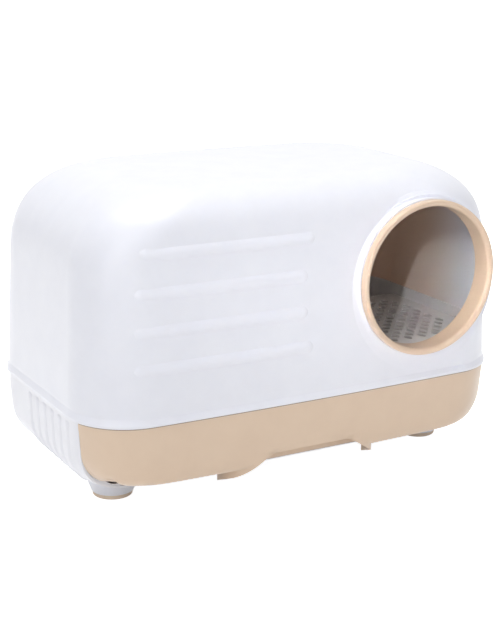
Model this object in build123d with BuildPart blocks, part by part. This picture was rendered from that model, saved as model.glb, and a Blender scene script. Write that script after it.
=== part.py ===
from build123d import *
from math import cos, radians, sin, sqrt, tan
import os

# Drawer litter box, in millimetres. +Z is up, -Y is the front with the entrance and
# the drawer, and the origin is on the floor under the middle of the whole box.
# A white hood stands on a white base; a beige drawer slides out of the base's front,
# and a beige ring lines the round entrance at the right end of the hood's front.

# ---- the body ----
BODY_W = 575.0  # over the two ends, at the parting line
BODY_D = 324.0  # front to back at the corners, at the parting line
BODY_H = 372.0  # floor to the top of the hood
SEAM_Z = 114.0  # parting line between hood and base
BOW = 6.5  # how far the long faces belly out in the middle
CORNER_R = 74.0  # upright corners, in plan
HOOD_DRAFT = 2.2  # degrees that the hood's walls lean in
CROWN_END_R = 95.0  # round between the hood's top and its two ends
CROWN_LONG_R = 48.0  # round between the hood's top and its long faces
HOOD_WALL = 3.0
RIM_PROUD = 2.0  # lip along the hood's lower edge
RIM_FLAT = 3.0  # upright part of that lip
RIM_H = 12.1
RIM_FADE = 1.5  # the lip's top ends this far under the hood's skin

# ---- the entrance ----
RING_X = 151.0
RING_Z = 245.0
RING_R = 95.8  # outside of the lip
HOLE_R = 88.0  # clear way through
RING_STANDS = 16.0  # lip's face in front of the body's corner plane
LIP_T = 10.0  # lip, front to back
RING_DEPTH = 27.5  # lip and sleeve together
SLEEVE_T = 4.2
SLEEVE_GAP = 0.3  # sleeve to the hood's bore
LIP_INNER_R = 5.2  # rounds of the lip's front corners
LIP_OUTER_R = 2.2
COLLAR_RADII = (97.3, 98.6, 102.5, 111.0)  # hood's flare behind the lip, front to back
COLLAR_RISE = 8.2  # front to back
COLLAR_DROP = 7.0  # how far the wide end's middle lies below the entrance's
COLLAR_TURN = 0.023  # the wide end follows the front's bow and lean
COLLAR_LEAN = 0.058
COLLAR_BACK = 28.0  # the wide end runs on into the skin
BOSS_T = 8.0  # thickness of the round boss that holds the sleeve
RING_SCREW_R = 1.0
RING_HEAD_R = 2.0

# ---- soft ribs on the hood's front: left end, right end, middle height ----
FRONT_RIBS = (
    (-223.5, -6.5, 307.8),
    (-230.5, -15.5, 264.3),
    (-232.5, -15.5, 221.3),
    (-233.5, -8.5, 178.8),
)
FRONT_RIB_W = 15.0
FRONT_RIB_PROUD = 2.4

# ---- the base ----
TUB_Z = 23.0  # underside of the base
TUB_WALL = 3.0
TUB_ROUND_R = 45.0  # lower edges of the two ends
TUB_TOE_R = 30.0  # lower edges front and back
BASE_TAPER = 3.0  # degrees that the base's walls lean in downwards
RING_WALL = 2.6  # upstanding rim that locates the hood
HOOD_FIT = 0.9  # hood's inside to that rim
RIM_BAR = 16.0  # how far the rim reaches below the parting line
UPSTAND = 10.0  # and above it
FLUTES = 6  # soft flutes on each end
FLUTE_PITCH = 23.4
FLUTE_Y = -22.0  # middle of the row
FLUTE_W = 12.0
FLUTE_PROUD = 1.4
FLUTE_TOP = 7.0  # flutes start this far below the parting line
FLUTE_LOW = 44.0  # and run down to this height

# ---- the drawer ----
WRAP = 50.0  # how far the drawer's front wraps round the ends
FRONT_Z = 37.0  # underside of the drawer's front
FRONT_ROUND_R = 48.0
FRONT_TOE_R = 10.0
FRONT_WALL = 2.8
SEAM_GAP = 1.0  # drawer's front to the hood's edge
WRAP_GAP = 0.6  # drawer's front to the base's walls
TURN_IN = 22.0  # lower edge turned in behind the front
TRAY_HALF_W = 255.5
TRAY_SET = 30.0  # tray's front wall behind the corner plane
TRAY_BACK = 58.0  # tray's back wall to the body's back plane
TRAY_Z = 31.0
TRAY_TOP = 94.0
TRAY_WALL = 2.5
TRAY_R = 40.0
TRAY_TOE_R = 24.0
TRAY_TAPER = 2.0
FLANGE_W = 8.0
RUN_GAP = 0.3  # every running and seating gap of the drawer
DRAWER_TRAVEL = 200.0

# ---- the pull under the drawer's front ----
PULL_X = -6.0
PULL_HALF_W = 105.0
PULL_DEPTH = 44.0
PULL_END_R = 38.0
PULL_Z = 14.0  # tips of its two legs
PULL_WALL = 3.0
PULL_PROUD = 3.0  # skirt's front face before the corner plane
PULL_FALL = 0.4  # skirt's lower edge falls this much per millimetre towards its tips
PULL_ROOM = 1.5  # pull to the tray
ARCH_Z = 54.0  # top of the finger arch
ARCH_HALF_W = 54.0  # flat part of the arch
ARCH_FOOT = (100.0, 24.0)  # where the arch's ramps meet the skirt's lower edge
ARCH_R = 26.0
POCKET_IN = 19.5  # plate behind the fingers
POCKET_T = 2.5
POCKET_Z = 38.0
STIFFENER_X = (-225.0, -128.0, 128.0, 225.0)
STIFFENER_T = 2.0
STIFFENER_DEPTH = 18.0

# ---- inner frame and perforated step ----
FRAME_WALL = 2.2
FRAME_TOP = 168.0
FRAME_GAP = 0.6  # frame to the base's rim
FUNNEL_END_IN = 42.0  # mouth of the funnel, in from the body's ends
FUNNEL_FRONT_IN = 46.0
FUNNEL_BACK_IN = 66.0
FUNNEL_Z = 97.0
FRAME_LEAN = 2.4
FRAME_FLANGE_T = 2.0
STEP_TOP = 155.0
STEP_T = 2.0
STEP_LEFT = 38.0
STEP_END_IN = 24.0  # step's right edge in from the body's end
STEP_FRONT_IN = 21.5
STEP_BACK_IN = 94.0  # step's back edge in from the body's back plane
STEP_R = 56.0
SEAT_W = 10.0
SEAT_T = 7.0
SEAT_GAP = 0.2
STEP_SKIRT = 5.0
HOLE_L = 16.5
HOLE_W = 8.2
HOLE_PITCH_X = 21.4
HOLE_PITCH_Y = 24.4
HOLE_BORDER = 12.0

# ---- feet ----
FOOT_R = 24.0
FOOT_T = 6.0
FOOT_FRONT = (223.0, 96.0)  # from the middle, and back from the corner plane
FOOT_BACK = (190.0, 66.0)  # from the middle, and in from the back plane
FOOT_FLARE = 11.0
FOOT_RISE = 12.0  # the foot's cone runs this far into the base's form
FOOT_RIM = 1.5
STEM_R = 6.0
STEM_H = 9.0
FOOT_GAP = 0.05

# ---- runners and screws ----
RUNNER_T = 2.5
RUNNER_LEDGE_T = 3.0
RUNNER_LEDGE_IN = 4.0  # ledge reaches this far under the tray's flange
RUNNER_SCREW_Y = (-60.0, 0.0, 60.0)
SCREW_R = 1.5
SCREW_CLEAR = 0.05
HEAD_R = 4.0
HEAD_T = 2.2
SCREW_L = 12.0
FRONT_SCREW_X = 190.0
FRONT_SCREW_Z = (54.0, 82.0)
FRONT_BOSS_R = 5.0
SCREW_PAD_R = 6.5
SCREW_PAD_T = 5.0

# ---- spacing of the outlines that the body's skins run through ----
HOOD_LEVEL = 27.0
BASE_LEVEL = 14.0

# ---- planes that follow from them ----
HALF_W = BODY_W / 2
TOTAL_D = RING_STANDS + BODY_D + BOW + RIM_PROUD
FRONT_Y = RING_STANDS - TOTAL_D / 2
BACK_Y = FRONT_Y + BODY_D
MIDDLE_Y = (FRONT_Y + BACK_Y) / 2
WRAP_Y = FRONT_Y + WRAP
LEAN = tan(radians(HOOD_DRAFT))
TAPER = tan(radians(BASE_TAPER))
LIP_FACE_Y = FRONT_Y - RING_STANDS
COLLAR_Y = LIP_FACE_Y + LIP_T
SLEEVE_END_Y = LIP_FACE_Y + RING_DEPTH
SLEEVE_R = HOLE_R + SLEEVE_T
BORE_R = SLEEVE_R + SLEEVE_GAP
SCREW_CIRCLE_R = HOLE_R + SLEEVE_T / 2
RIM_IN = HOOD_WALL + HOOD_FIT
RIM_IN_2 = RIM_IN + RING_WALL
RIM_LOW = SEAM_Z - RIM_BAR
RIM_HIGH = SEAM_Z + UPSTAND
TRAY_FRONT_Y = FRONT_Y + TRAY_SET
TRAY_BACK_Y = BACK_Y - TRAY_BACK
FLANGE_Z = TRAY_TOP - TRAY_WALL
STEP_Z = STEP_TOP - STEP_T
STEP_BACK_Y = BACK_Y - STEP_BACK_IN

os.makedirs("parts", exist_ok=True)


def plan(z, end_in, front_in, back_in, corner):
    """The body's outline at height z: straight ends, bowed long faces, round corners."""
    half = HALF_W - end_in
    front = FRONT_Y + front_in
    back = BACK_Y - back_in
    with BuildSketch(Plane.XY.offset(z)) as level:
        with BuildLine():
            ThreePointArc((-half, front), (0, front - BOW), (half, front))
            Line((half, front), (half, back))
            ThreePointArc((half, back), (0, back + BOW), (-half, back))
            Line((-half, back), (-half, front))
        make_face()
        fillet(level.vertices(), corner)
    return level.sketch


def even_plan(z, inset):
    return plan(z, inset, inset, inset, CORNER_R - inset)


def through(levels, ruled=False):
    """A solid through a stack of outlines."""
    with BuildPart() as stack:
        loft(levels, ruled=ruled)
    return stack.part


def evenly(low, high, step):
    """Heights from low to high, both included, about one step apart."""
    spans = max(round((high - low) / step), 1)
    return [low + (high - low) * i / spans for i in range(spans + 1)]


def round_in(radius, above):
    """How far a quarter round has come in, this far above its start."""
    if above <= 0:
        return 0.0
    return radius - sqrt(max(radius**2 - min(above, radius) ** 2, 0.0))


def hood_form(inset, start=SEAM_Z):
    """The hood's skin; a positive inset gives its hollow, a negative one stands proud."""
    top = BODY_H - inset
    end_r = CROWN_END_R - inset
    long_r = CROWN_LONG_R - inset
    straight = top - end_r
    heights = evenly(start, straight, HOOD_LEVEL)
    heights += [straight + end_r * sin(radians(a)) for a in (15, 30, 42, 54, 65, 75, 83, 90)]
    levels = []
    for z in heights:
        wall = inset + (z - SEAM_Z) * LEAN
        end_in = wall + round_in(end_r, z - straight)
        long_in = wall + round_in(long_r, z - (top - long_r))
        levels.append(plan(z, end_in, long_in, long_in, CORNER_R - inset))
    return through(levels)


def base_form(inset, bottom, round_r, toe_r, top=SEAM_Z):
    """The base's skin between its rounded lower edges and the parting line."""
    end_r = round_r - inset
    long_r = toe_r - inset
    low = bottom + inset
    heights = [low + end_r * (1 - cos(radians(a))) for a in (0, 14, 28, 42, 56, 72)]
    heights += evenly(low + end_r, top, BASE_LEVEL)
    levels = []
    for z in heights:
        wall = inset + (SEAM_Z - z) * TAPER
        end_in = wall + round_in(end_r, low + end_r - z)
        long_in = wall + round_in(long_r, low + long_r - z)
        levels.append(plan(z, end_in, long_in, long_in, CORNER_R - inset))
    return through(levels)


def about_ring(y):
    """Plane square to the entrance's axis; its normal points to the back."""
    return Plane(origin=(RING_X, y, RING_Z), x_dir=(-1, 0, 0), z_dir=(0, 1, 0))


def ring_corners(radius):
    return PolarLocations(radius, 4, start_angle=45)


def finish(piece, name):
    piece.part.label = name
    export_step(piece.part, f"parts/{name}.step")
    print(name, len(piece.part.solids()), round(piece.part.volume))


def bar_radius(width, proud):
    """Radius of a round bar that shows this much width and height above a skin."""
    return (width**2 / 4 + proud**2) / (2 * proud)


def bead(points, radius):
    """A round bar with round ends through the points."""
    with BuildPart() as bar:
        with BuildLine() as path:
            Spline(*points)
        with BuildSketch(Plane(origin=path.line @ 0, z_dir=path.line % 0)):
            Circle(radius)
        sweep(path=path.line)
        with Locations(points[0], points[-1]):
            Sphere(radius)
    return bar.part


# ---------------------------------------------------------------- hood
RIB_R = bar_radius(FRONT_RIB_W, FRONT_RIB_PROUD)


def inside_front(x, z, inset):
    """Point this far inside the skin of the hood's front."""
    wall = inset + (z - SEAM_Z) * LEAN
    half = HALF_W - wall - round_in(CROWN_END_R - inset, z - (BODY_H - CROWN_END_R))
    corner = CORNER_R - inset
    turn = round_in(corner, abs(x) - (half - corner))
    return (x, FRONT_Y + wall - BOW * (1 - (x / half) ** 2) + turn, z)


front_ribs = []
for left, right, height in FRONT_RIBS:
    start, end = left + FRONT_RIB_W / 2, right - FRONT_RIB_W / 2
    along = [start + (end - start) * i / 8 for i in range(9)]
    depth = RIB_R - FRONT_RIB_PROUD
    front_ribs.append(bead([inside_front(x, height, depth) for x in along], RIB_R))


def collar_circle(share, radius):
    """One outline of the collar; 0 is its front end and 1 its wide back end."""
    turn, lean = COLLAR_TURN * share, COLLAR_LEAN * share
    middle = (RING_X, COLLAR_Y + COLLAR_RISE * share, RING_Z - COLLAR_DROP * share)
    with BuildSketch(Plane(origin=middle, x_dir=(1, turn, 0), z_dir=(-turn, 1, -lean))) as ring:
        Circle(radius)
    return ring.sketch


with BuildPart() as collar:
    shares = [i / (len(COLLAR_RADII) - 1) for i in range(len(COLLAR_RADII))]
    loft([collar_circle(share, radius) for share, radius in zip(shares, COLLAR_RADII)])
    extrude(collar_circle(1, COLLAR_RADII[-1]), amount=COLLAR_BACK)

with BuildPart() as hood:
    add(hood_form(0))
    loft(
        [
            even_plan(SEAM_Z, -RIM_PROUD),
            even_plan(SEAM_Z + RIM_FLAT, -RIM_PROUD),
            even_plan(SEAM_Z + RIM_H, RIM_FADE),
        ],
        ruled=True,
    )
    add(collar.part)
    add(front_ribs)
    add(hood_form(HOOD_WALL, SEAM_Z - 1), mode=Mode.SUBTRACT)
    with BuildSketch(about_ring(COLLAR_Y + COLLAR_RISE)):
        Circle(BORE_R + BOSS_T)
    extrude(amount=SLEEVE_END_Y - COLLAR_Y - COLLAR_RISE)
    with BuildSketch(about_ring(LIP_FACE_Y)):
        Circle(BORE_R)
    extrude(amount=RING_DEPTH + BODY_D / 4, mode=Mode.SUBTRACT)
finish(hood, "hood")

# ---------------------------------------------------------------- entrance ring
with BuildPart() as entrance_ring:
    with BuildSketch(Plane.XY.offset(RING_Z)) as section:
        with BuildLine():
            inner = RING_X + HOLE_R
            outer = RING_X + RING_R
            sleeve = RING_X + SLEEVE_R
            Polyline(
                (inner, LIP_FACE_Y),
                (outer, LIP_FACE_Y),
                (outer, COLLAR_Y),
                (sleeve, COLLAR_Y),
                (sleeve, SLEEVE_END_Y),
                (inner, SLEEVE_END_Y),
                close=True,
            )
        make_face()
        fillet(section.vertices().group_by(Axis.Y)[0].sort_by(Axis.X)[0], LIP_INNER_R)
        fillet(section.vertices().group_by(Axis.Y)[0].sort_by(Axis.X)[-1], LIP_OUTER_R)
        fillet(section.vertices().group_by(Axis.X)[-1].sort_by(Axis.Y)[-1], 1.5)
    revolve(axis=Axis((RING_X, 0, RING_Z), (0, 1, 0)))
    with BuildSketch(about_ring(SLEEVE_END_Y)):
        with ring_corners(SCREW_CIRCLE_R):
            Circle(RING_SCREW_R + SCREW_CLEAR)
    extrude(amount=-SCREW_L, mode=Mode.SUBTRACT)
finish(entrance_ring, "entrance_ring")

with BuildPart() as ring_screws:
    with BuildSketch(about_ring(SLEEVE_END_Y)):
        with ring_corners(SCREW_CIRCLE_R):
            Circle(RING_HEAD_R)
    extrude(amount=HEAD_T)
    with BuildSketch(about_ring(SLEEVE_END_Y)):
        with ring_corners(SCREW_CIRCLE_R):
            Circle(RING_SCREW_R)
    extrude(amount=-(SCREW_L - 1))
finish(ring_screws, "ring_screws")

# ---------------------------------------------------------------- base
BASE = base_form(0, TUB_Z, TUB_ROUND_R, TUB_TOE_R)
FEET = [(side * FOOT_FRONT[0], FRONT_Y + FOOT_FRONT[1]) for side in (-1, 1)]
FEET += [(side * FOOT_BACK[0], BACK_Y - FOOT_BACK[1]) for side in (-1, 1)]
FLUTE_R = bar_radius(FLUTE_W, FLUTE_PROUD)
RUNNER_TOP = SEAM_Z - 3.0
RUNNER_X = HALF_W - RIM_IN_2
RUNNER_SCREW_Z = (RUNNER_TOP + RIM_LOW) / 2
RUNNER_SCREWS = [(y, RUNNER_SCREW_Z) for y in RUNNER_SCREW_Y]



def inside_end(y, z, inset):
    """Point this far inside the skin of the base's right end."""
    turn = round_in(TUB_ROUND_R - inset, TUB_Z + TUB_ROUND_R - z)
    return (HALF_W - inset - (SEAM_Z - z) * TAPER - turn, y, z)


flutes = []
for i in range(FLUTES):
    y = FLUTE_Y + (i - (FLUTES - 1) / 2) * FLUTE_PITCH
    heights = evenly(FLUTE_LOW, SEAM_Z - FLUTE_TOP - FLUTE_W / 2, 7.0)
    points = [inside_end(y, z, FLUTE_R - FLUTE_PROUD) for z in heights]
    flutes.append(bead(points, FLUTE_R))
flutes += [mirror(flute, about=Plane.YZ) for flute in flutes]

with BuildPart() as base_tub:
    add(BASE)
    add(flutes)
    with Locations(*[(x, y, FOOT_T) for x, y in FEET]):
        Cone(
            bottom_radius=FOOT_R + FOOT_RIM,
            top_radius=FOOT_R + FOOT_RIM + FOOT_FLARE,
            height=TUB_Z + FOOT_RISE - FOOT_T,
            align=(Align.CENTER, Align.CENTER, Align.MIN),
        )
    add(base_form(TUB_WALL, TUB_Z, TUB_ROUND_R, TUB_TOE_R, RIM_LOW), mode=Mode.SUBTRACT)
    extrude(even_plan(RIM_LOW, RIM_IN_2), amount=SEAM_Z - RIM_LOW, mode=Mode.SUBTRACT)
    with BuildSketch(Plane.XY):
        with Locations((0, WRAP_Y)):
            Rectangle(BODY_W * 2, BODY_D, align=(Align.CENTER, Align.MAX))
    extrude(amount=BODY_H, mode=Mode.SUBTRACT)
    extrude(even_plan(RIM_LOW, RIM_IN), amount=RIM_HIGH - RIM_LOW)
    extrude(even_plan(RIM_LOW, RIM_IN_2), amount=RIM_HIGH - RIM_LOW, mode=Mode.SUBTRACT)
    with BuildSketch(Plane.XY.offset(FOOT_T)):
        with Locations(*FEET):
            Circle(STEM_R + FOOT_GAP)
    extrude(amount=STEM_H + FOOT_GAP, mode=Mode.SUBTRACT)
    with BuildSketch(Plane.YZ):
        with Locations(*RUNNER_SCREWS):
            Circle(SCREW_R + SCREW_CLEAR)
    extrude(amount=RUNNER_X + RING_WALL + RIM_IN / 2, both=True, mode=Mode.SUBTRACT)
finish(base_tub, "base_tub")

# ---------------------------------------------------------------- feet
FOOT_NAMES = ("front_left", "front_right", "back_left", "back_right")
for (x, y), place in zip(FEET, FOOT_NAMES):
    with BuildPart(Plane.XY.move(Location((x, y, 0)))) as foot_pad:
        Cylinder(FOOT_R, FOOT_T, align=(Align.CENTER, Align.CENTER, Align.MIN))
        fillet(foot_pad.edges().group_by(Axis.Z)[0], FOOT_T / 3)
        with Locations((0, 0, FOOT_T)):
            Cylinder(STEM_R, STEM_H, align=(Align.CENTER, Align.CENTER, Align.MIN))
    finish(foot_pad, f"foot_pad_{place}")

# ---------------------------------------------------------------- runners
LEDGE_X = TRAY_HALF_W + RUN_GAP + RUNNER_LEDGE_IN - 2
LEDGE_Z = FLANGE_Z - RUN_GAP
STRAIGHT_Y = BODY_D / 2 - CORNER_R - 4
for side, hand in ((-1, "left"), (1, "right")):
    with BuildPart() as runner:
        with BuildSketch(Plane.XY.offset(LEDGE_Z - RUNNER_LEDGE_T)):
            with Locations((side * LEDGE_X, MIDDLE_Y)):
                align = (Align.MIN if side > 0 else Align.MAX, Align.CENTER)
                Rectangle(RUNNER_X - LEDGE_X, 2 * STRAIGHT_Y, align=align)
        extrude(amount=RUNNER_LEDGE_T)
        with BuildSketch(Plane.XY.offset(LEDGE_Z - RUNNER_LEDGE_T)):
            with Locations((side * RUNNER_X, MIDDLE_Y)):
                align = (Align.MAX if side > 0 else Align.MIN, Align.CENTER)
                Rectangle(RUNNER_T, 2 * STRAIGHT_Y, align=align)
        extrude(amount=RUNNER_TOP - LEDGE_Z + RUNNER_LEDGE_T)
        with BuildSketch(Plane.YZ):
            with Locations(*RUNNER_SCREWS):
                Circle(SCREW_R + SCREW_CLEAR)
        extrude(amount=BODY_W / 2, both=True, mode=Mode.SUBTRACT)
    finish(runner, f"drawer_runner_{hand}")

with BuildPart() as runner_screws:
    for side in (-1, 1):
        head = Plane.YZ.offset(side * (RUNNER_X - RUNNER_T))
        with BuildSketch(head):
            with Locations(*RUNNER_SCREWS):
                Circle(HEAD_R)
        extrude(amount=-side * HEAD_T)
        with BuildSketch(head):
            with Locations(*RUNNER_SCREWS):
                Circle(SCREW_R)
        extrude(amount=side * (RUNNER_T + RIM_IN_2 * 0.6))
finish(runner_screws, "runner_screws")

# ---------------------------------------------------------------- tray
TRAY_L = TRAY_BACK_Y - TRAY_FRONT_Y
TRAY_MIDDLE_Y = (TRAY_FRONT_Y + TRAY_BACK_Y) / 2
FRONT_SCREWS = [(x, z) for x in (-FRONT_SCREW_X, FRONT_SCREW_X) for z in FRONT_SCREW_Z]
SCREW_SEAT_Y = TRAY_FRONT_Y + SCREW_PAD_T


def pan(inset):
    """The tray's form; a positive inset gives its hollow, a negative one room round it."""
    with BuildPart() as form:
        with BuildSketch(Plane.XY.offset(TRAY_TOP)):
            with Locations((0, TRAY_MIDDLE_Y)):
                RectangleRounded(
                    2 * (TRAY_HALF_W - inset), TRAY_L - 2 * inset, TRAY_R - inset
                )
        extrude(amount=-(TRAY_TOP - TRAY_Z - inset), taper=TRAY_TAPER)
        fillet(form.faces().sort_by(Axis.Z)[0].edges(), TRAY_TOE_R - inset)
    return form.part


def across(y):
    """Upright plane facing the front, with X to the right and Z up."""
    return Plane(origin=(0, y, 0), x_dir=(1, 0, 0), z_dir=(0, -1, 0))


with BuildPart() as drawer_tray:
    add(pan(0))
    with BuildSketch(Plane.XY.offset(FLANGE_Z)):
        with Locations((0, TRAY_MIDDLE_Y)):
            Rectangle(2 * (TRAY_HALF_W + FLANGE_W), TRAY_L - 2 * TRAY_R)
    extrude(amount=TRAY_WALL)
    add(pan(TRAY_WALL), mode=Mode.SUBTRACT)
    with BuildSketch(across(SCREW_SEAT_Y)):
        with Locations(*FRONT_SCREWS):
            Circle(SCREW_PAD_R)
    extrude(amount=SCREW_PAD_T - TRAY_WALL)
    with BuildSketch(across(SCREW_SEAT_Y)):
        with Locations(*FRONT_SCREWS):
            Circle(SCREW_R + SCREW_CLEAR)
    extrude(amount=2 * SCREW_PAD_T, mode=Mode.SUBTRACT)
finish(drawer_tray, "drawer_tray")

with BuildPart() as drawer_front_screws:
    with BuildSketch(across(SCREW_SEAT_Y)):
        with Locations(*FRONT_SCREWS):
            Circle(HEAD_R)
    extrude(amount=-HEAD_T)
    with BuildSketch(across(SCREW_SEAT_Y)):
        with Locations(*FRONT_SCREWS):
            Circle(SCREW_R)
    extrude(amount=SCREW_L + SCREW_PAD_T - 1)
finish(drawer_front_screws, "drawer_front_screws")

# ---------------------------------------------------------------- drawer front
SHELL_TOP = SEAM_Z - SEAM_GAP
ROOF_TOP = ARCH_Z + FRONT_WALL


def pull_plan(z, inset):
    """The pull's outline from above: a slot's front half, open to the back."""
    with BuildSketch(Plane.XY.offset(z)) as outline:
        with Locations((PULL_X, FRONT_Y - PULL_PROUD + PULL_DEPTH)):
            RectangleRounded(
                2 * (PULL_HALF_W - inset), 2 * (PULL_DEPTH - inset), PULL_END_R - inset
            )
        with Locations((PULL_X, FRONT_Y - PULL_PROUD + PULL_DEPTH)):
            Rectangle(
                BODY_W, BODY_D, align=(Align.CENTER, Align.MIN), mode=Mode.SUBTRACT
            )
    return outline.sketch


with BuildPart() as front_inside:
    with BuildSketch(Plane.XY.offset(FRONT_Z)):
        for x in STIFFENER_X:
            with Locations((x, FRONT_Y)):
                Rectangle(STIFFENER_T, 2 * STIFFENER_DEPTH)
    extrude(amount=RIM_LOW - 2 - FRONT_Z)
    with BuildSketch(across(TRAY_FRONT_Y + SCREW_PAD_T)):
        with Locations(*FRONT_SCREWS):
            Circle(FRONT_BOSS_R)
    extrude(amount=2 * TRAY_SET)
    inside = base_form(FRONT_WALL / 2, FRONT_Z, FRONT_ROUND_R, FRONT_TOE_R, SHELL_TOP)
    add(inside, mode=Mode.INTERSECT)

with BuildPart() as pull:
    extrude(pull_plan(PULL_Z, 0), amount=ROOF_TOP - PULL_Z)
    add(pan(-PULL_ROOM), mode=Mode.SUBTRACT)

with BuildPart() as finger_cut:
    foot_x, foot_z = ARCH_FOOT
    with BuildSketch(across(FRONT_Y + POCKET_IN)) as arch:
        with BuildLine():
            Polyline(
                (PULL_X - foot_x, 0),
                (PULL_X - foot_x, foot_z),
                (PULL_X - ARCH_HALF_W, ARCH_Z),
                (PULL_X + ARCH_HALF_W, ARCH_Z),
                (PULL_X + foot_x, foot_z),
                (PULL_X + foot_x, 0),
                close=True,
            )
        make_face()
        fillet(arch.vertices().group_by(Axis.Y)[-1], ARCH_R)
    extrude(amount=PULL_DEPTH)
    with BuildSketch(Plane.YZ.offset(PULL_X)):
        tip = FRONT_Y - PULL_PROUD + PULL_DEPTH
        ahead = tip - 1.4 * PULL_DEPTH
        with BuildLine():
            Polyline(
                (ahead, 0),
                (tip + 1, 0),
                (tip + 1, PULL_Z),
                (tip, PULL_Z),
                (ahead, PULL_Z + PULL_FALL * (tip - ahead)),
                close=True,
            )
        make_face()
    extrude(amount=PULL_HALF_W + 1, both=True)

with BuildPart() as drawer_front:
    add(base_form(0, FRONT_Z, FRONT_ROUND_R, FRONT_TOE_R, SHELL_TOP))
    hollow = base_form(FRONT_WALL, FRONT_Z, FRONT_ROUND_R, FRONT_TOE_R, SHELL_TOP)
    add(hollow, mode=Mode.SUBTRACT)
    extrude(even_plan(RIM_LOW - 2, RIM_IN - 0.5), amount=BODY_H, mode=Mode.SUBTRACT)
    with BuildSketch(Plane.XY):
        with Locations((0, WRAP_Y - WRAP_GAP)):
            Rectangle(BODY_W * 2, BODY_D, align=(Align.CENTER, Align.MIN))
        with Locations((0, FRONT_Y + TURN_IN)):
            Rectangle(2 * (TRAY_HALF_W - 4), BODY_D, align=(Align.CENTER, Align.MIN))
    extrude(amount=BODY_H, mode=Mode.SUBTRACT)
    add(front_inside.part)
    add(pan(-RUN_GAP), mode=Mode.SUBTRACT)
    with BuildSketch(across(TRAY_FRONT_Y + SCREW_PAD_T)):
        with Locations(*FRONT_SCREWS):
            Circle(SCREW_R + SCREW_CLEAR)
    extrude(amount=SCREW_L + SCREW_PAD_T, mode=Mode.SUBTRACT)
    add(pull.part)
    extrude(pull_plan(PULL_Z, PULL_WALL), amount=ARCH_Z - PULL_Z, mode=Mode.SUBTRACT)
    add(finger_cut.part, mode=Mode.SUBTRACT)
    with Locations((PULL_X, FRONT_Y + POCKET_IN, ROOF_TOP)):
        align = (Align.CENTER, Align.MIN, Align.MAX)
        Box(2 * PULL_HALF_W - PULL_WALL, POCKET_T, ROOF_TOP - POCKET_Z, align=align)
finish(drawer_front, "drawer_front")

# ---------------------------------------------------------------- inner frame
SEAT_Z = STEP_Z - SEAT_GAP - SEAT_T
FRAME_IN = RIM_IN_2 + FRAME_GAP
BOSS_CLEAR_R = BORE_R + BOSS_T + 4.5
BOSS_CLEAR_Y = SLEEVE_END_Y + 5.0


def frame_form(wall):
    """Funnel below and upright wall above; a wall's thickness gives the hollow."""
    mouth = plan(
        FUNNEL_Z,
        FUNNEL_END_IN + wall * 1.6,
        FUNNEL_FRONT_IN + wall * 1.6,
        FUNNEL_BACK_IN + wall * 1.6,
        TRAY_R,
    )
    waist = even_plan(RIM_HIGH, FRAME_IN + wall)
    crest = even_plan(FRAME_TOP, FRAME_IN + FRAME_LEAN + wall)
    return through([mouth, waist, crest], ruled=True)


def step_plan(z, grow):
    """The step's outline, grown or shrunk on every side."""
    with BuildSketch(Plane.XY.offset(z)) as outline:
        add(plan(z, STEP_END_IN - grow, STEP_FRONT_IN - grow, FUNNEL_BACK_IN, STEP_R + grow))
        with Locations((STEP_LEFT - grow, STEP_BACK_Y + grow)):
            Rectangle(BODY_W, BODY_D, align=(Align.MIN, Align.MAX), mode=Mode.INTERSECT)
    return outline.sketch


with BuildPart() as inner_frame:
    add(frame_form(0))
    extrude(even_plan(RIM_HIGH, RIM_IN + FRAME_GAP), amount=FRAME_FLANGE_T)
    add(frame_form(FRAME_WALL), mode=Mode.SUBTRACT)
    with BuildPart(mode=Mode.ADD) as seat:
        with BuildSketch(Plane.XY.offset(SEAT_Z)):
            add(even_plan(SEAT_Z, FRAME_IN + FRAME_WALL / 2 + FRAME_LEAN / 2))
            with Locations((STEP_LEFT - SEAT_W / 2, STEP_BACK_Y + SEAT_W / 2)):
                Rectangle(BODY_W, BODY_D, align=(Align.MIN, Align.MAX), mode=Mode.INTERSECT)
        extrude(amount=SEAT_T)
        extrude(step_plan(SEAT_Z, -SEAT_W / 2), amount=SEAT_T, mode=Mode.SUBTRACT)
    with BuildSketch(about_ring(LIP_FACE_Y)):
        Circle(BOSS_CLEAR_R)
    extrude(amount=BOSS_CLEAR_Y - LIP_FACE_Y, mode=Mode.SUBTRACT)
finish(inner_frame, "inner_frame")

# ---------------------------------------------------------------- step plate
STEP_MIDDLE = ((STEP_LEFT + HALF_W - STEP_END_IN) / 2, (FRONT_Y + STEP_FRONT_IN + STEP_BACK_Y) / 2)


def slot_fits(x, y):
    """True where a slot leaves the plain border free, the round corner included."""
    right = HALF_W - STEP_END_IN - HOLE_BORDER - HOLE_W / 2
    left = STEP_LEFT + HOLE_BORDER + HOLE_W / 2
    low = FRONT_Y + STEP_FRONT_IN + HOLE_BORDER + HOLE_L / 2 - BOW / 2
    high = STEP_BACK_Y - HOLE_BORDER - HOLE_L / 2
    corner = STEP_R - HOLE_BORDER
    into_x = max(x - (right - corner), 0)
    into_y = max((low + corner) - y, 0)
    round_ok = into_x**2 + into_y**2 <= corner**2
    return left <= x <= right and low <= y <= high and round_ok


SLOTS = []
for row in range(-20, 21):
    for column in range(-20, 21):
        if (row + column) % 2 == 0:
            x = STEP_MIDDLE[0] + column * HOLE_PITCH_X / 2
            y = STEP_MIDDLE[1] + row * HOLE_PITCH_Y / 2
            if slot_fits(x, y):
                SLOTS.append((x, y))

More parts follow.
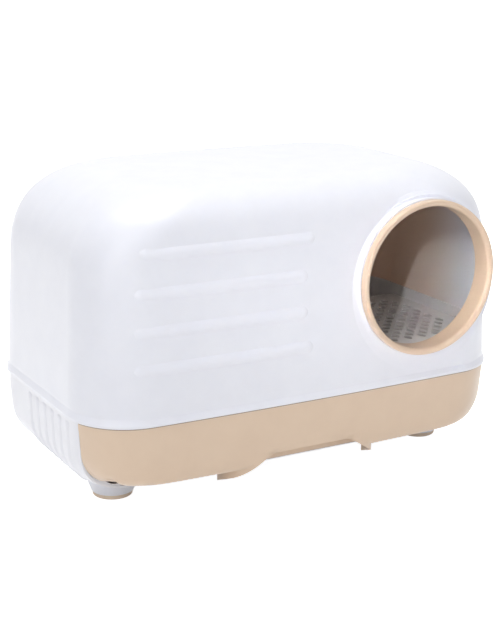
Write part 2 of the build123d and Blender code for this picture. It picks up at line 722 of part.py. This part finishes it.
with BuildPart() as step_plate:
    extrude(step_plan(STEP_Z, 0), amount=STEP_T)
    skirt_out = -SEAT_W / 2 - RUN_GAP
    extrude(step_plan(STEP_Z - STEP_SKIRT, skirt_out), amount=STEP_SKIRT)
    skirt_in = skirt_out - 1.6
    extrude(step_plan(STEP_Z - STEP_SKIRT, skirt_in), amount=STEP_SKIRT, mode=Mode.SUBTRACT)
    with BuildSketch(Plane.XY.offset(STEP_Z)):
        with Locations(*SLOTS):
            tip = HOLE_W / 2
            Polygon(
                (tip, tip - HOLE_L / 2),
                (tip, HOLE_L / 2 - tip),
                (0, HOLE_L / 2),
                (-tip, HOLE_L / 2 - tip),
                (-tip, tip - HOLE_L / 2),
                (0, -HOLE_L / 2),
            )
    extrude(amount=STEP_T, mode=Mode.SUBTRACT)
finish(step_plate, "step_plate")
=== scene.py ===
# %% [markdown]
# # Drawer litter box
# The solids of the box come ready made from its CAD model. This notebook dresses them:
# it gives every moulding its plastic, fills out the lower corners of the drawer's front,
# closes the base behind them, and sets up the floor, the lamps and the camera. Lengths
# are in metres, +Z is up, and the entrance and the drawer face -Y.

# %% Load the frame
from math import cos, radians, sin

import bmesh
import bpy
from mathutils import Matrix, Vector


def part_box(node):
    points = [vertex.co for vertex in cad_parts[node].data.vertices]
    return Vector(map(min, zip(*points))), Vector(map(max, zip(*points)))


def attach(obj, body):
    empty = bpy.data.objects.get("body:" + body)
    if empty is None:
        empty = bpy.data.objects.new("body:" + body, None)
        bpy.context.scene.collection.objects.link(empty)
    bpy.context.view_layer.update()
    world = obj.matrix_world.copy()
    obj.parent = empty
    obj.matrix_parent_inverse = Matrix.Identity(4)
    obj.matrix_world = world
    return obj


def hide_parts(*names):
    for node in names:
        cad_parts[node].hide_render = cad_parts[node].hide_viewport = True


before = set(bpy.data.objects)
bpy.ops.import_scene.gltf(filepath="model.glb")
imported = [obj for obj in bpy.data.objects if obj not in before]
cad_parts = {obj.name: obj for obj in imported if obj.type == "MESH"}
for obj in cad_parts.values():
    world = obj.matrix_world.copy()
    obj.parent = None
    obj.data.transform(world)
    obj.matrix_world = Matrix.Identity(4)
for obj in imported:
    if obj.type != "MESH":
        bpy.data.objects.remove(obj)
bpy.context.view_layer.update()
MM = 0.001
WHITE = (1, 1, 1, 1)
print("nodes:", sorted(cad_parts))

# %% [markdown]
# ## The camera
# A product photograph is taken with a long lens, so the box shows little perspective.
# The camera stands in front and to the left, a little above the box. Its place, turn and
# focal length were found by matching the box's known outline to the photograph.

# %% Camera
CAMERA_PLACE = Vector((-0.8386, -1.46705, 0.6506))
CAMERA_YAW = radians(29.76)
CAMERA_PITCH = radians(15.95)
CAMERA_ROLL = radians(0.67)
LENS_MM = 77.2
SENSOR_MM = 36

ahead = Vector(
    (
        sin(CAMERA_YAW) * cos(CAMERA_PITCH),
        cos(CAMERA_YAW) * cos(CAMERA_PITCH),
        -sin(CAMERA_PITCH),
    )
)
right = Vector((cos(CAMERA_YAW), -sin(CAMERA_YAW), 0))
above = right.cross(ahead)
rolled_right = right * cos(CAMERA_ROLL) + above * sin(CAMERA_ROLL)
rolled_up = above * cos(CAMERA_ROLL) - right * sin(CAMERA_ROLL)

camera_data = bpy.data.cameras.new("studio_camera")
camera_data.lens = LENS_MM
camera_data.sensor_width = SENSOR_MM
camera_data.sensor_fit = "AUTO"
camera = bpy.data.objects.new("studio_camera", camera_data)
camera.matrix_world = Matrix.Translation(CAMERA_PLACE) @ Matrix(
    (rolled_right, rolled_up, -ahead)
).transposed().to_4x4()
bpy.context.scene.collection.objects.link(camera)
bpy.context.scene.camera = camera
print("camera looks along", [round(v, 3) for v in ahead])

# %% [markdown]
# ## Helpers for the materials
# A material is a small tree of nodes, and the same few kinds of node come back in every
# one of them. Each helper makes one kind and returns the socket that the next node
# needs, so a material reads as a list of steps. Patterns take their place from the
# object's own coordinates, so they stay on their piece when it moves.


# %% A helper that makes any node
def add_node(tree, kind, inputs=None, **settings):
    """A new node, with its settings and its input values or links."""
    node = tree.nodes.new(kind)
    for name, value in settings.items():
        setattr(node, name, value)
    for name, value in (inputs or {}).items():
        socket = node.inputs[name]
        if isinstance(value, bpy.types.NodeSocket):
            tree.links.new(value, socket)
        else:
            socket.default_value = value
    return node


# %% Helpers for places, patterns and numbers
def object_coords(tree):
    """The place of a point in its object's own coordinates."""
    return add_node(tree, "ShaderNodeTexCoord").outputs["Object"]


def object_axes(tree):
    """The same place as three numbers: X, Y and Z."""
    return add_node(tree, "ShaderNodeSeparateXYZ", {"Vector": object_coords(tree)}).outputs


def noise(tree, place, scale, detail, roughness):
    """A cloudy pattern of numbers between 0 and 1."""
    pattern = add_node(
        tree,
        "ShaderNodeTexNoise",
        {"Vector": place, "Scale": scale, "Detail": detail, "Roughness": roughness},
    )
    return pattern.outputs["Fac"]


def calculate(tree, operation, first, second, clamp=False):
    """What one Math node makes of two numbers."""
    math_node = add_node(
        tree, "ShaderNodeMath", {0: first, 1: second}, operation=operation, use_clamp=clamp
    )
    return math_node.outputs["Value"]


def rescaled(tree, value, start=0.0, end=1.0, low=0.0, high=1.0, **settings):
    """A number between start and end, brought between low and high."""
    map_range = add_node(
        tree,
        "ShaderNodeMapRange",
        {"Value": value, "From Min": start, "From Max": end, "To Min": low, "To Max": high},
        **settings,
    )
    return map_range.outputs["Result"]


# %% Helpers for colour, relief and materials
# A Mix node keeps sockets for numbers, vectors and colours in one list. These are the
# places of its colour sockets in that list.
MIX_FIRST = 6
MIX_SECOND = 7
MIX_RESULT = 2


def mix_colours(tree, factor, first, second):
    """A colour between two: each is a socket, or its red, green and blue."""
    first_end, second_end = (
        end if isinstance(end, bpy.types.NodeSocket) else (*end, 1) for end in (first, second)
    )
    mix = add_node(
        tree,
        "ShaderNodeMix",
        {"Factor": factor, MIX_FIRST: first_end, MIX_SECOND: second_end},
        data_type="RGBA",
    )
    return mix.outputs[MIX_RESULT]


def add_relief(tree, height, strength, depth):
    """Lets a pattern of heights stand out on the main shader."""
    relief = add_node(
        tree, "ShaderNodeBump", {"Height": height, "Strength": strength, "Distance": depth}
    )
    normal = tree.nodes["Principled BSDF"].inputs["Normal"]
    tree.links.new(relief.outputs["Normal"], normal)


def new_material(name):
    """A material, with its node tree and its main shader."""
    material = bpy.data.materials.new(name)
    material.use_nodes = True
    tree = material.node_tree
    return material, tree, tree.nodes["Principled BSDF"]


def new_group(name, numbers, outputs):
    """A node group, with the sockets it is given and the sockets it hands out."""
    group = bpy.data.node_groups.new(name, "ShaderNodeTree")
    for label, value in numbers.items():
        socket = group.interface.new_socket(
            label, in_out="INPUT", socket_type="NodeSocketFloat"
        )
        socket.default_value = value
    for label in outputs:
        group.interface.new_socket(label, in_out="OUTPUT", socket_type="NodeSocketFloat")
    inside = group.nodes.new("NodeGroupInput")
    outside = group.nodes.new("NodeGroupOutput")
    print("node group", name, "takes", list(numbers), "and gives", outputs)
    return group, inside.outputs, outside.inputs


# %% [markdown]
# ## Mould grain
# Moulded plastic is never quite flat. The mould leaves a fine grain, and the wall sinks
# a little over ribs and bosses, which shows as slow waves in the reflections. The grain
# is finer than the mesh and the waves are only hundredths of a millimetre deep, so both
# are noises in a bump and not real geometry. A third noise marks patches that are
# slightly duller. Every plastic here wants this, so it is a node group, built once.

# %% Mould grain: height, and a mask of duller patches
PATCH_SCALE = 34.0
PATCHES_BEGIN = 0.35
PATCHES_FULL = 0.7

grain_group, given, out = new_group(
    "mould_grain",
    {"Grain Size": 900.0, "Wave Size": 9.0, "Wave Share": 0.5},
    ["Height", "Dull"],
)
coords = object_coords(grain_group)
fine = noise(grain_group, coords, scale=given["Grain Size"], detail=2.0, roughness=0.5)
waves = noise(grain_group, coords, scale=given["Wave Size"], detail=1.0, roughness=0.4)
height = add_node(
    grain_group, "ShaderNodeMix", {"Factor": given["Wave Share"], "A": fine, "B": waves}
)
patches = noise(grain_group, coords, scale=PATCH_SCALE, detail=5.0, roughness=0.6)
dull = rescaled(grain_group, patches, start=PATCHES_BEGIN, end=PATCHES_FULL)
grain_group.links.new(height.outputs["Result"], out["Height"])
grain_group.links.new(dull, out["Dull"])

# %% [markdown]
# ## Dust and scuffs
# A box that stands on the floor is dusty and scuffed low down and clean at its top. That
# could be painted by hand, but a mask from the height times a noise that is drawn out
# upwards fits every piece at once.

# %% Dust and scuffs: a mask that gathers low down
SCUFF_STRETCH = (60.0, 60.0, 14.0)
SCUFFS_BEGIN = 0.55
SCUFFS_FULL = 0.8

scuff_group, given, out = new_group(
    "low_scuffs", {"Fades Above": 0.10, "Amount": 0.3}, ["Mask"]
)
low = rescaled(
    scuff_group, object_axes(scuff_group)["Z"], end=given["Fades Above"], low=1.0, high=0.0
)
stretch = add_node(
    scuff_group,
    "ShaderNodeMapping",
    {"Vector": object_coords(scuff_group), "Scale": SCUFF_STRETCH},
)
marks = noise(scuff_group, stretch.outputs["Vector"], scale=1.0, detail=6.0, roughness=0.65)
sparse = rescaled(scuff_group, marks, start=SCUFFS_BEGIN, end=SCUFFS_FULL)
where = calculate(scuff_group, "MULTIPLY", low, sparse)
mask = calculate(scuff_group, "MULTIPLY", where, given["Amount"], clamp=True)
scuff_group.links.new(mask, out["Mask"])

# %% [markdown]
# ## Painted bounce light inside
# Light that reaches the cabin has bounced off the beige ring and drawer, so the white
# wall looks warm deep inside and white near the entrance. The render's own bounces show
# less of this than the photograph does, so a painted warm tint stands in for that bounce
# light: it covers the sides that look towards the middle of the cabin and grows with the
# distance from the front.

# %% Painted bounce light: a mask for the sides that face the cabin
CABIN_MIDDLE = (0.0, 0.0, 0.20)

bounce_light_group, given, out = new_group(
    "painted_bounce_light", {"Untinted Until": -0.11, "Warm From": 0.03}, ["Mask"]
)
facing = add_node(bounce_light_group, "ShaderNodeNewGeometry").outputs["Normal"]
from_middle = add_node(
    bounce_light_group,
    "ShaderNodeVectorMath",
    {0: object_coords(bounce_light_group), 1: CABIN_MIDDLE},
    operation="SUBTRACT",
)
outward = add_node(
    bounce_light_group,
    "ShaderNodeVectorMath",
    {0: from_middle.outputs["Vector"], 1: facing},
    operation="DOT_PRODUCT",
)
inner_side = calculate(bounce_light_group, "LESS_THAN", outward.outputs["Value"], 0.0)
away = rescaled(
    bounce_light_group,
    object_axes(bounce_light_group)["Y"],
    start=given["Untinted Until"],
    end=given["Warm From"],
    interpolation_type="SMOOTHSTEP",
)
bounce_light_group.links.new(calculate(bounce_light_group, "MULTIPLY", inner_side, away), out["Mask"])

# %% [markdown]
# ## Painted shade in the joint
# The drawer's front ends a millimetre below the hood's lip, and the photograph shows
# that joint as a thin dark line of shade. The gap is about as high as one pixel and the
# lamps shine into it, so it doesn't darken by itself. A mask paints that shade on the top
# edge of the drawer's front instead.

# %% Painted joint shade: a mask that ends at a given height
SEAM_WIDTH = 0.0011

joint_shade_group, given, out = new_group("painted_joint_shade", {"Height": 0.11}, ["Mask"])
above_line = calculate(
    joint_shade_group, "SUBTRACT", object_axes(joint_shade_group)["Z"], given["Height"]
)
line = rescaled(joint_shade_group, above_line, start=-SEAM_WIDTH, end=0.0)
joint_shade_group.links.new(line, out["Mask"])

# %% [markdown]
# ## The plastics
# The hood and the base are glossy white polypropylene, a touch cool. The drawer, the
# ring and the feet are a warm beige. Thin white plastic lets some light through, which
# is why the inside of the hood isn't dark: a little subsurface scattering does that. One
# recipe makes them all, so they differ only in what they are given.

# %% One recipe for every moulded plastic
PLASTIC_IOR = 1.49
COAT_ROUGHNESS = 0.12
DULL_ADDS = 0.06
GRAIN_DEPTH = 0.0004
SCATTER_DEPTH = 0.004
SCATTER_REACH = (1.0, 0.95, 0.9)
SCUFF_SHADE = 0.82
# The colour of the painted warm bounce light inside the hood.
BOUNCE_LIGHT_TINT = (0.82, 0.69, 0.60)
# The colour of the painted shade in the joint under the hood's lip.
SEAM_SHADE = (0.16, 0.12, 0.09)


def plastic_colour(tree, dull, colour, shade, scuffs, warm, seam):
    """The base colour: duller patches, scuffs, painted warm bounce light and painted joint
    shade.
    """
    paint = mix_colours(tree, dull, colour, shade)
    worn = add_node(tree, "ShaderNodeGroup", {"Amount": scuffs}, node_tree=scuff_group)
    scuffed = [SCUFF_SHADE * channel for channel in shade]
    paint = mix_colours(tree, worn.outputs["Mask"], paint, scuffed)
    # Painted warm bounce light on the sides that face the cabin.
    if warm:
        inside = add_node(tree, "ShaderNodeGroup", node_tree=bounce_light_group)
        paint = mix_colours(tree, inside.outputs["Mask"], paint, BOUNCE_LIGHT_TINT)
    # Painted shade along the top edge, in the joint under the hood's lip.
    if seam is not None:
        joint_shade = add_node(tree, "ShaderNodeGroup", {"Height": seam}, node_tree=joint_shade_group)
        paint = mix_colours(tree, joint_shade.outputs["Mask"], paint, SEAM_SHADE)
    return paint


def plastic(
    name,
    colour,
    shade,
    rough,
    bump,
    grain,
    scatter=0.0,
    coat=0.0,
    scuffs=0.2,
    warm=False,
    seam=None,
):
    """A moulded plastic in a colour, with a shade for its duller patches.

    warm says whether the sides that face the cabin take the painted warm bounce light.
    seam is the height of a line of painted shade, where shadow gathers in the joint under the
    hood's lip.
    """
    material, tree, shader = new_material(name)
    mould = add_node(tree, "ShaderNodeGroup", {"Grain Size": grain}, node_tree=grain_group)
    dull = mould.outputs["Dull"]
    paint = plastic_colour(tree, dull, colour, shade, scuffs, warm, seam)
    tree.links.new(paint, shader.inputs["Base Color"])
    roughness = rescaled(tree, dull, low=rough, high=rough + DULL_ADDS)
    tree.links.new(roughness, shader.inputs["Roughness"])
    add_relief(tree, mould.outputs["Height"], strength=bump, depth=GRAIN_DEPTH)
    shader.inputs["IOR"].default_value = PLASTIC_IOR
    shader.inputs["Coat Weight"].default_value = coat
    shader.inputs["Coat Roughness"].default_value = COAT_ROUGHNESS
    if scatter:
        shader.inputs["Subsurface Weight"].default_value = scatter
        shader.inputs["Subsurface Scale"].default_value = SCATTER_DEPTH
        shader.inputs["Subsurface Radius"].default_value = SCATTER_REACH
    print("plastic", name, "in", colour)
    return material


# %% The whites
hood_white = plastic(
    "hood_white",
    colour=(0.84, 0.85, 0.925),
    shade=(0.82, 0.83, 0.905),
    rough=0.30,
    bump=0.10,
    grain=1100,
    scatter=0.5,
    coat=0.15,
    scuffs=0.0,
    # the sides that face the cabin take the painted warm bounce light
    warm=True,
)
base_white = plastic(
    "base_white",
    colour=(0.84, 0.845, 0.90),
    shade=(0.82, 0.825, 0.88),
    rough=0.34,
    bump=0.12,
    grain=1100,
    scatter=0.3,
    coat=0.1,
    scuffs=0.35,
)
inner_white = plastic(
    "inner_white",
    colour=(0.84, 0.82, 0.81),
    shade=(0.80, 0.78, 0.77),
    rough=0.42,
    bump=0.25,
    grain=700,
    scatter=0.2,
    scuffs=0.1,
)

# %% The beiges
DRAWER_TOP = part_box("drawer_front")[1][2]
print("top of the drawer's front in mm:", round(DRAWER_TOP / MM, 1))
drawer_beige = plastic(
    "drawer_beige",
    colour=(0.74, 0.575, 0.432),
    shade=(0.72, 0.555, 0.417),
    rough=0.33,
    bump=0.12,
    grain=1000,
    scatter=0.1,
    coat=0.1,
    scuffs=0.25,
    # a line of painted shade at the top edge, in the joint under the hood's lip
    seam=DRAWER_TOP,
)
ring_beige = plastic(
    "ring_beige",
    colour=(0.72, 0.55, 0.41),
    shade=(0.70, 0.53, 0.395),
    rough=0.28,
    bump=0.10,
    grain=1000,
    scatter=0.1,
    coat=0.2,
    scuffs=0.0,
)
foot_beige = plastic(
    "foot_beige",
    colour=(0.80, 0.65, 0.51),
    shade=(0.76, 0.61, 0.47),
    rough=0.62,
    bump=0.5,
    grain=500,
    scuffs=0.6,
)

# %% [markdown]
# ## Screw steel
# Screws are turned and plated, so their colour is nearly even, and fine marks from the
# tool break up the highlight. One fine noise does both jobs: it moves the colour a
# little, and it makes the surface rougher and uneven.

# %% Screw steel
STEEL_DARK = (0.30, 0.30, 0.31)
STEEL_LIGHT = (0.44, 0.44, 0.45)
STEEL_SMOOTHEST = 0.28
STEEL_ROUGHEST = 0.5
TOOL_MARK_SCALE = 900.0
TOOL_MARK_DEPTH = 0.0001

screw_steel, tree, shader = new_material("screw_steel")
shader.inputs["Metallic"].default_value = 1.0
tone = noise(tree, object_coords(tree), scale=TOOL_MARK_SCALE, detail=3.0, roughness=0.5)
steel = mix_colours(tree, tone, STEEL_DARK, STEEL_LIGHT)
tree.links.new(steel, shader.inputs["Base Color"])
steel_rough = rescaled(tree, tone, low=STEEL_SMOOTHEST, high=STEEL_ROUGHEST)
tree.links.new(steel_rough, shader.inputs["Roughness"])
add_relief(tree, tone, strength=0.3, depth=TOOL_MARK_DEPTH)
print("screw steel has", len(tree.nodes), "nodes")

# %% [markdown]
# ## Who wears what
# Each CAD node already has its shape and its material slot. Here the slot gets the
# finish that the real piece has. Feet, screws and runners come in numbers, so they are
# found by their names and the rest is a table.

# %% Dress the CAD nodes
FINISH = {
    "hood": hood_white,
    "base_tub": base_white,
    "entrance_ring": ring_beige,
    "drawer_front": drawer_beige,
    "drawer_tray": drawer_beige,
    "inner_frame": inner_white,
    "step_plate": inner_white,
}
for name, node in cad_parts.items():
    if name.startswith("foot_pad"):
        finish = foot_beige
    elif name.endswith("screws"):
        finish = screw_steel
    elif name.startswith("drawer_runner"):
        finish = inner_white
    else:
        finish = FINISH[name]
    for slot in node.material_slots:
        slot.material = finish
    print(name, "wears", finish.name)

# %% [markdown]
# ## The front of the drawer
# The moulded front of the real drawer fills the base's opening right into its lower
# corners, a little fuller than the CAD solid does. So this piece starts as a copy of
# that solid's mesh, and its two lower corners are let out and down by moving vertices:
# a rounded edge of one radius becomes a rounded edge of a smaller one. The strip under
# each corner ends beside the tray. That end moves to the middle and down, because it
# would leave a notch in the lower line of the front.

# %% Helpers for new pieces
JOIN_WITHIN = 0.001 * MM


def merged_copy(node):
    """A bmesh of a CAD node's mesh with its loose triangles joined."""
    shape = bmesh.new()
    shape.from_mesh(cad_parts[node].data)
    bmesh.ops.remove_doubles(shape, verts=shape.verts, dist=JOIN_WITHIN)
    return shape


def object_from(name, shape):
    """Turns a bmesh into an object of the scene."""
    mesh = bpy.data.meshes.new(name)
    shape.to_mesh(mesh)
    shape.free()
    made = bpy.data.objects.new(name, mesh)
    bpy.context.scene.collection.objects.link(made)
    return made


def new_piece(name, shape, finish, body):
    """Turns a bmesh into a piece that wears a finish and rides on a body."""
    piece = object_from(name, shape)
    piece.data.materials.append(finish)
    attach(piece, body)
    print(name, "has", len(piece.data.polygons), "faces")
    return piece


# %% Measures of the lower corners
FRONT_LOW = 0.037  # underside of the front
FRONT_END = 0.2875  # from the middle to the box's ends
SOLID_ROUND = 0.048  # round of the lower corners on the CAD solid
REAL_ROUND = 0.039  # the same round on the real front
LET_OUT_FROM = 0.185  # the corners begin to change this far from the middle
DROP = 0.0035  # and come down by this much
STRIP_END = 0.2515  # where the strip under a corner ends on the CAD solid
STRIP_FRONT = -0.1345  # front of that end
STRIP_TOP = 0.0522  # top of that end
STRIP_REACHES = 0.233  # where the strip ends on this piece
STRIP_DROP = 0.0056  # and how far it comes down
STRIP_SLACK = 0.25 * MM  # points this near the end belong to it


def end_inset(height, radius):
    """How far a rounded lower edge has drawn in at a height above its lowest line."""
    left = max(0.0, radius - height)
    return radius - (radius**2 - left**2) ** 0.5


def ramp(value, start, end):
    """0 before start and 1 after end, straight between them."""
    return min(1.0, max(0.0, (value - start) / (end - start)))


# %% Let the lower corners out
front_shape = merged_copy("drawer_front")
for corner in front_shape.verts:
    x, y, z = corner.co
    side = 1 if x > 0 else -1
    height = min(max(z - FRONT_LOW, 0.0), SOLID_ROUND)
    out_by = end_inset(height, SOLID_ROUND) - end_inset(height, REAL_ROUND)
    share = ramp(abs(x), LET_OUT_FROM, FRONT_END - SOLID_ROUND)
    low_share = 1 - ramp(z, FRONT_LOW, FRONT_LOW + SOLID_ROUND)
    corner.co.x += out_by * share * side
    corner.co.z -= DROP * share * low_share
    at_strip_end = abs(abs(x) - STRIP_END) < STRIP_SLACK
    if at_strip_end and y > STRIP_FRONT and z < STRIP_TOP:
        corner.co.x = STRIP_REACHES * side
        corner.co.z -= STRIP_DROP
drawer_face = new_piece("drawer_face", front_shape, drawer_beige, "drawer")
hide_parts("drawer_front")

# %% [markdown]
# ## The sill of the base
# Behind the drawer's front, the base is closed at its two lower corners by a thin cross
# wall, so nobody looks past the drawer into the dark base. Its outline is the base's own
# cross-section: the base's mesh is cut at one plane, the cut points are wrapped in a
# convex hull, and the passage of the tray is taken out with a Boolean.

# %% A helper for flat plates
STRAIGHT_WITHIN = radians(0.5)


def plate_from_outline(name, points, front, back):
    """A plate between two planes that face along Y, round a convex set of points."""
    shape = bmesh.new()
    for x, z in points:
        for y in (front, back):
            shape.verts.new((x, y, z))
    hull = bmesh.ops.convex_hull(shape, input=shape.verts[:])
    inside = [
        item for item in hull["geom_interior"] if isinstance(item, bmesh.types.BMVert)
    ]
    bmesh.ops.delete(shape, geom=inside, context="VERTS")
    bmesh.ops.dissolve_limit(
        shape, angle_limit=STRAIGHT_WITHIN, verts=shape.verts[:], edges=shape.edges[:]
    )
    print(name, "outline has", len(shape.verts) // 2, "points")
    return shape


# %% Blank of the sill, from the base's cross-section
SILL_FRONT = -0.1076
SILL_BACK = -0.1052
SILL_TOP = 0.084  # the section above this height is left out
SILL_SHRINK = 0.995  # keeps the sill inside the base's wall
SILL_LIFT = 0.0012  # and off its underside

section = merged_copy("base_tub")
bmesh.ops.bisect_plane(
    section,
    geom=[*section.verts, *section.edges, *section.faces],
    plane_co=(0, SILL_FRONT, 0),
    plane_no=(0, 1, 0),
    clear_outer=True,
    clear_inner=True,
)
outline = [
    (SILL_SHRINK * v.co.x, v.co.z + SILL_LIFT) for v in section.verts if v.co.z < SILL_TOP
]
section.free()
sill_shape = plate_from_outline("sill", outline, SILL_FRONT, SILL_BACK)
blank = object_from("sill_blank", sill_shape)

# %% Passage of the tray: a block with its two lower corners rounded
PASSAGE_HALF = 0.257
PASSAGE_LOW = 0.0304
PASSAGE_DEEP = 0.02
PASSAGE_TALL = 0.1
PASSAGE_ROUND = 0.020
ROUND_STEPS = 8
ROUND_PROFILE = 0.5  # a circular arc

passage_shape = bmesh.new()
bmesh.ops.create_cube(passage_shape, size=1.0)
bmesh.ops.scale(
    passage_shape, vec=(2 * PASSAGE_HALF, PASSAGE_DEEP, PASSAGE_TALL), verts=passage_shape.verts
)
bmesh.ops.translate(
    passage_shape,
    vec=(0, SILL_FRONT, PASSAGE_LOW + PASSAGE_TALL / 2),
    verts=passage_shape.verts,
)
low_sides = [  # the two lower edges that run from front to back
    edge
    for edge in passage_shape.edges
    if all(v.co.z < PASSAGE_LOW + MM for v in edge.verts)
    and abs(edge.verts[0].co.y - edge.verts[1].co.y) > PASSAGE_DEEP / 2
]
bmesh.ops.bevel(
    passage_shape,
    geom=low_sides,
    offset=PASSAGE_ROUND,
    segments=ROUND_STEPS,
    profile=ROUND_PROFILE,
    affect="EDGES",
    material=-1,
)
passage = object_from("tray_passage", passage_shape)
print("rounded edges of the passage:", len(low_sides))

# %% Cut the passage out of the blank
cut = blank.modifiers.new("passage", "BOOLEAN")
cut.operation = "DIFFERENCE"
cut.solver = "EXACT"
cut.object = passage
cut_shape = bmesh.new()
cut_shape.from_object(blank, bpy.context.evaluated_depsgraph_get())
bpy.data.objects.remove(blank)
bpy.data.objects.remove(passage)
new_piece("base_sill", cut_shape, base_white, "base")

# %% [markdown]
# ## The floor
# The photograph has a pure white ground with a faint shadow at the feet. A white sheet
# would come out grey in places, so the camera and the reflections also see a light
# from the sheet itself. The sheet still darkens a little where the box shades it.

# %% Floor
SHEET_HALF = 20.0
SHEET_COLOUR = (0.88, 0.88, 0.88, 1)
SHEET_ROUGHNESS = 0.9
FLOOR_LIFT = 0.85


def white_stage_material():
    """White to the camera and in reflections, and it keeps the box's soft shadow."""
    material, tree, shader = new_material("studio_sheet")
    shader.inputs["Base Color"].default_value = SHEET_COLOUR
    shader.inputs["Roughness"].default_value = SHEET_ROUGHNESS
    shader.inputs["Emission Color"].default_value = WHITE
    rays = add_node(tree, "ShaderNodeLightPath").outputs
    seen = calculate(tree, "MAXIMUM", rays["Is Camera Ray"], rays["Is Glossy Ray"])
    lift = calculate(tree, "MULTIPLY", seen, FLOOR_LIFT)
    tree.links.new(lift, shader.inputs["Emission Strength"])
    return material


sheet_shape = bmesh.new()
bmesh.ops.create_grid(sheet_shape, x_segments=1, y_segments=1, size=SHEET_HALF)
floor = object_from("studio_floor", sheet_shape)
floor.data.materials.append(white_stage_material())
print("floor is", 2 * SHEET_HALF, "m wide")

# %% [markdown]
# ## The room
# A white room gives an even light from all sides. Seen by the camera or in a reflection
# it has to be pure white, but as a light that much would wash out every form. So it is
# dimmer for the rays that only bring light.

# %% World
ROOM_LIGHT = 0.49

world = bpy.data.worlds.new("white_room")
world.use_nodes = True
bpy.context.scene.world = world
tree = world.node_tree
background = tree.nodes["Background"]
background.inputs["Color"].default_value = WHITE
rays = add_node(tree, "ShaderNodeLightPath").outputs
glossy_or_clear = calculate(
    tree, "MAXIMUM", rays["Is Glossy Ray"], rays["Is Transmission Ray"]
)
seen = calculate(tree, "MAXIMUM", rays["Is Camera Ray"], glossy_or_clear)
strength = rescaled(tree, seen, low=ROOM_LIGHT, high=1.0)
tree.links.new(strength, background.inputs["Strength"])
print("the room's share of light:", ROOM_LIGHT)

# %% [markdown]
# ## The lamps
# The photograph's light is broad and soft, and strongest from above. Two soft lamps
# hang overhead, one stands in front on the left and a weak one on the right. Two small
# lamps with a narrow spread do what large ones can't: they reach into the entrance, one
# to the ring's right inner side and one to the step.


# %% Lamps
def softbox(name, place, target, size, watts, spread=180.0):
    """A square lamp that looks at a point; a small spread, in degrees, keeps it narrow."""
    data = bpy.data.lights.new(name, "AREA")
    data.shape = "SQUARE"
    data.size = size
    data.energy = watts
    data.spread = radians(spread)
    lamp = bpy.data.objects.new(name, data)
    lamp.location = place
    look = Vector(target) - Vector(place)
    lamp.rotation_euler = look.to_track_quat("-Z", "Y").to_euler()
    bpy.context.scene.collection.objects.link(lamp)
    print(name, "gives", watts, "W")


BOX_MIDDLE = (0, 0, 0.18)
RING_RIGHT = (0.235, -0.16, 0.235)
STEP_SEEN = (0.170, -0.165, 0.225)
softbox("key_softbox", (-2.0, -1.9, 1.3), BOX_MIDDLE, size=1.8, watts=13)
softbox("fill_softbox", (2.2, -1.6, 1.4), BOX_MIDDLE, size=1.6, watts=1)
softbox("top_softbox", (-0.3, 0.1, 2.6), BOX_MIDDLE, size=2.0, watts=33)
softbox("front_top_softbox", (0.1, -0.9, 2.3), BOX_MIDDLE, size=0.8, watts=5)
softbox("ring_kicker", (-1.0, -0.60, 0.40), RING_RIGHT, size=0.15, watts=0.105, spread=22.0)
softbox("step_beam", (-0.95, -1.25, 0.75), STEP_SEEN, size=0.05, watts=0.026, spread=7.5)

scene = bpy.context.scene
scene.view_settings.view_transform = "Standard"
